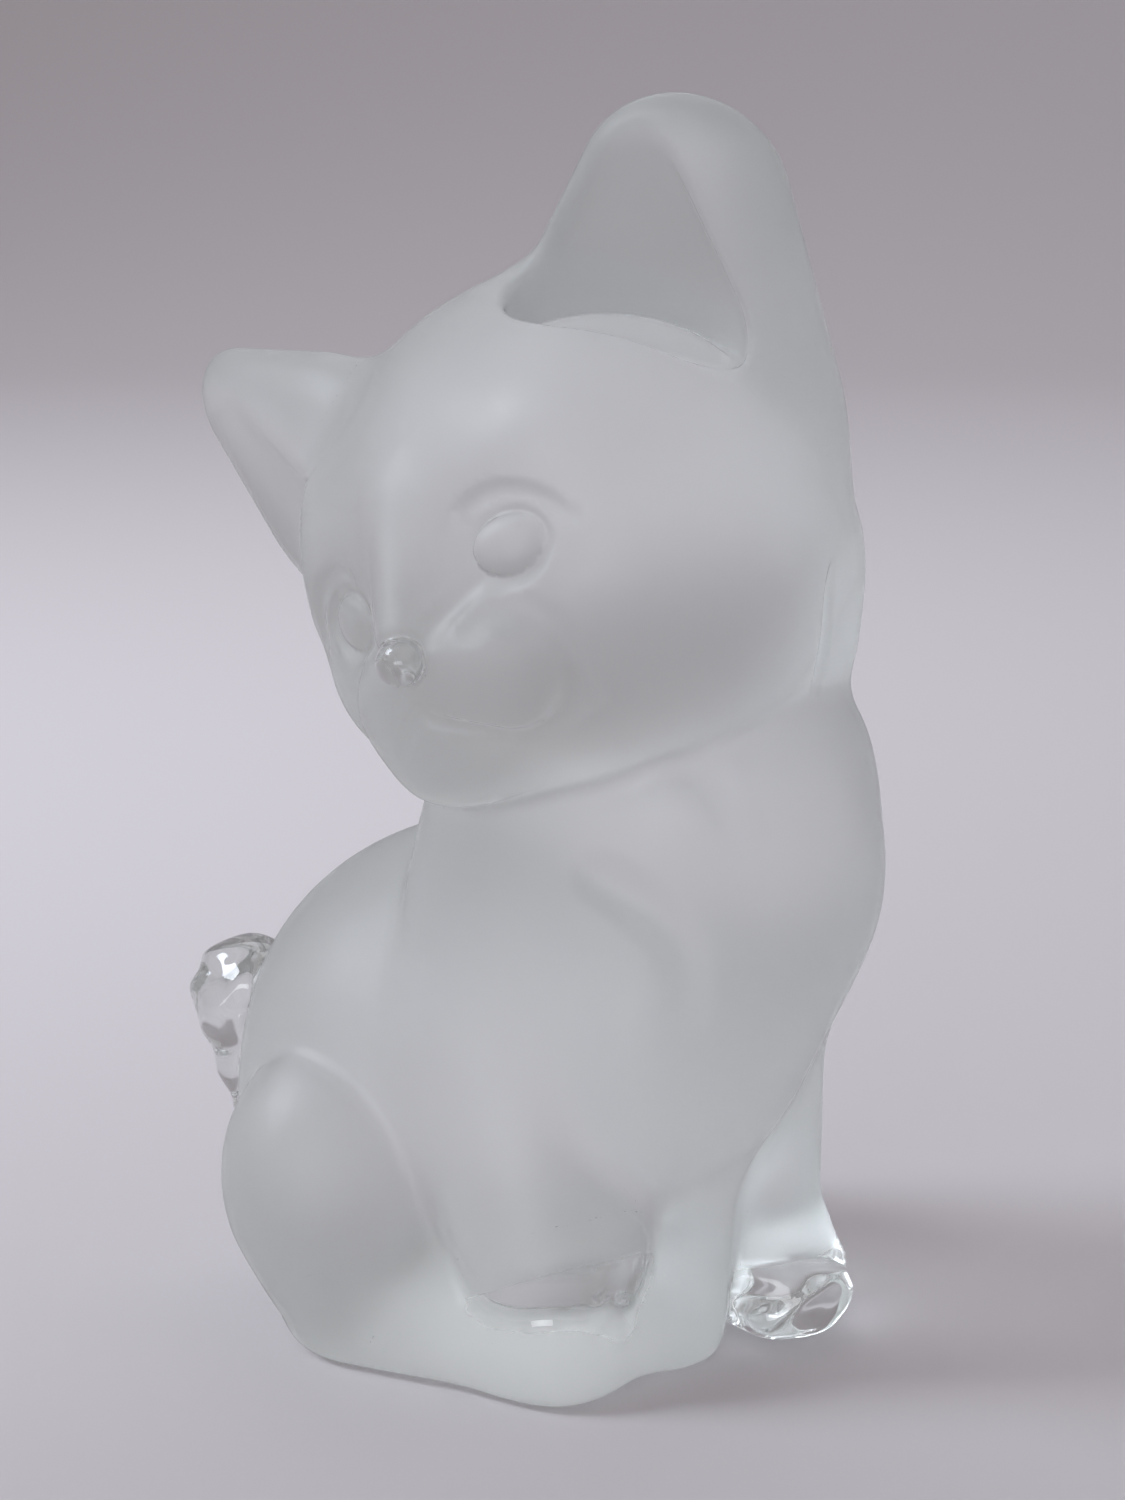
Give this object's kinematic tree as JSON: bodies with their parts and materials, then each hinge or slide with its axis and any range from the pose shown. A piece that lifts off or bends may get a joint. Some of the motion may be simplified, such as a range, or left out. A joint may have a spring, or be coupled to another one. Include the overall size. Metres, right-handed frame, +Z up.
{
  "type": "glass cat figurine",
  "caption": "Seated kitten in solid cast glass, looking back over its shoulder with a forepaw lifted; satin-frosted, with clear polished nose, forepaws and tail.",
  "frame": {"origin": "on the flat ground underside, under the middle of the figure", "axes": "+Z up; -Y towards the display side; +X to the viewer's right, the way the body faces"},
  "size_m": [0.0608, 0.0529, 0.1062],
  "materials": {
    "frosted_glass": "acid-etched satin, lightly textured",
    "clear_glass": "fire-polished clear"
  },
  "bodies": {
    "root": {"torso": "frosted_glass", "head": "frosted_glass", "ear_left": "frosted_glass", "ear_right": "frosted_glass", "eye_left": "frosted_glass", "eye_right": "frosted_glass", "foreleg_left": "frosted_glass", "foreleg_right": "frosted_glass", "haunch_left": "frosted_glass", "haunch_right": "frosted_glass", "hind_foot_left": "frosted_glass", "hind_foot_right": "frosted_glass", "nose": "clear_glass", "forepaw_left": "clear_glass", "forepaw_right": "clear_glass", "tail": "clear_glass"}
  },
  "joints": []
}
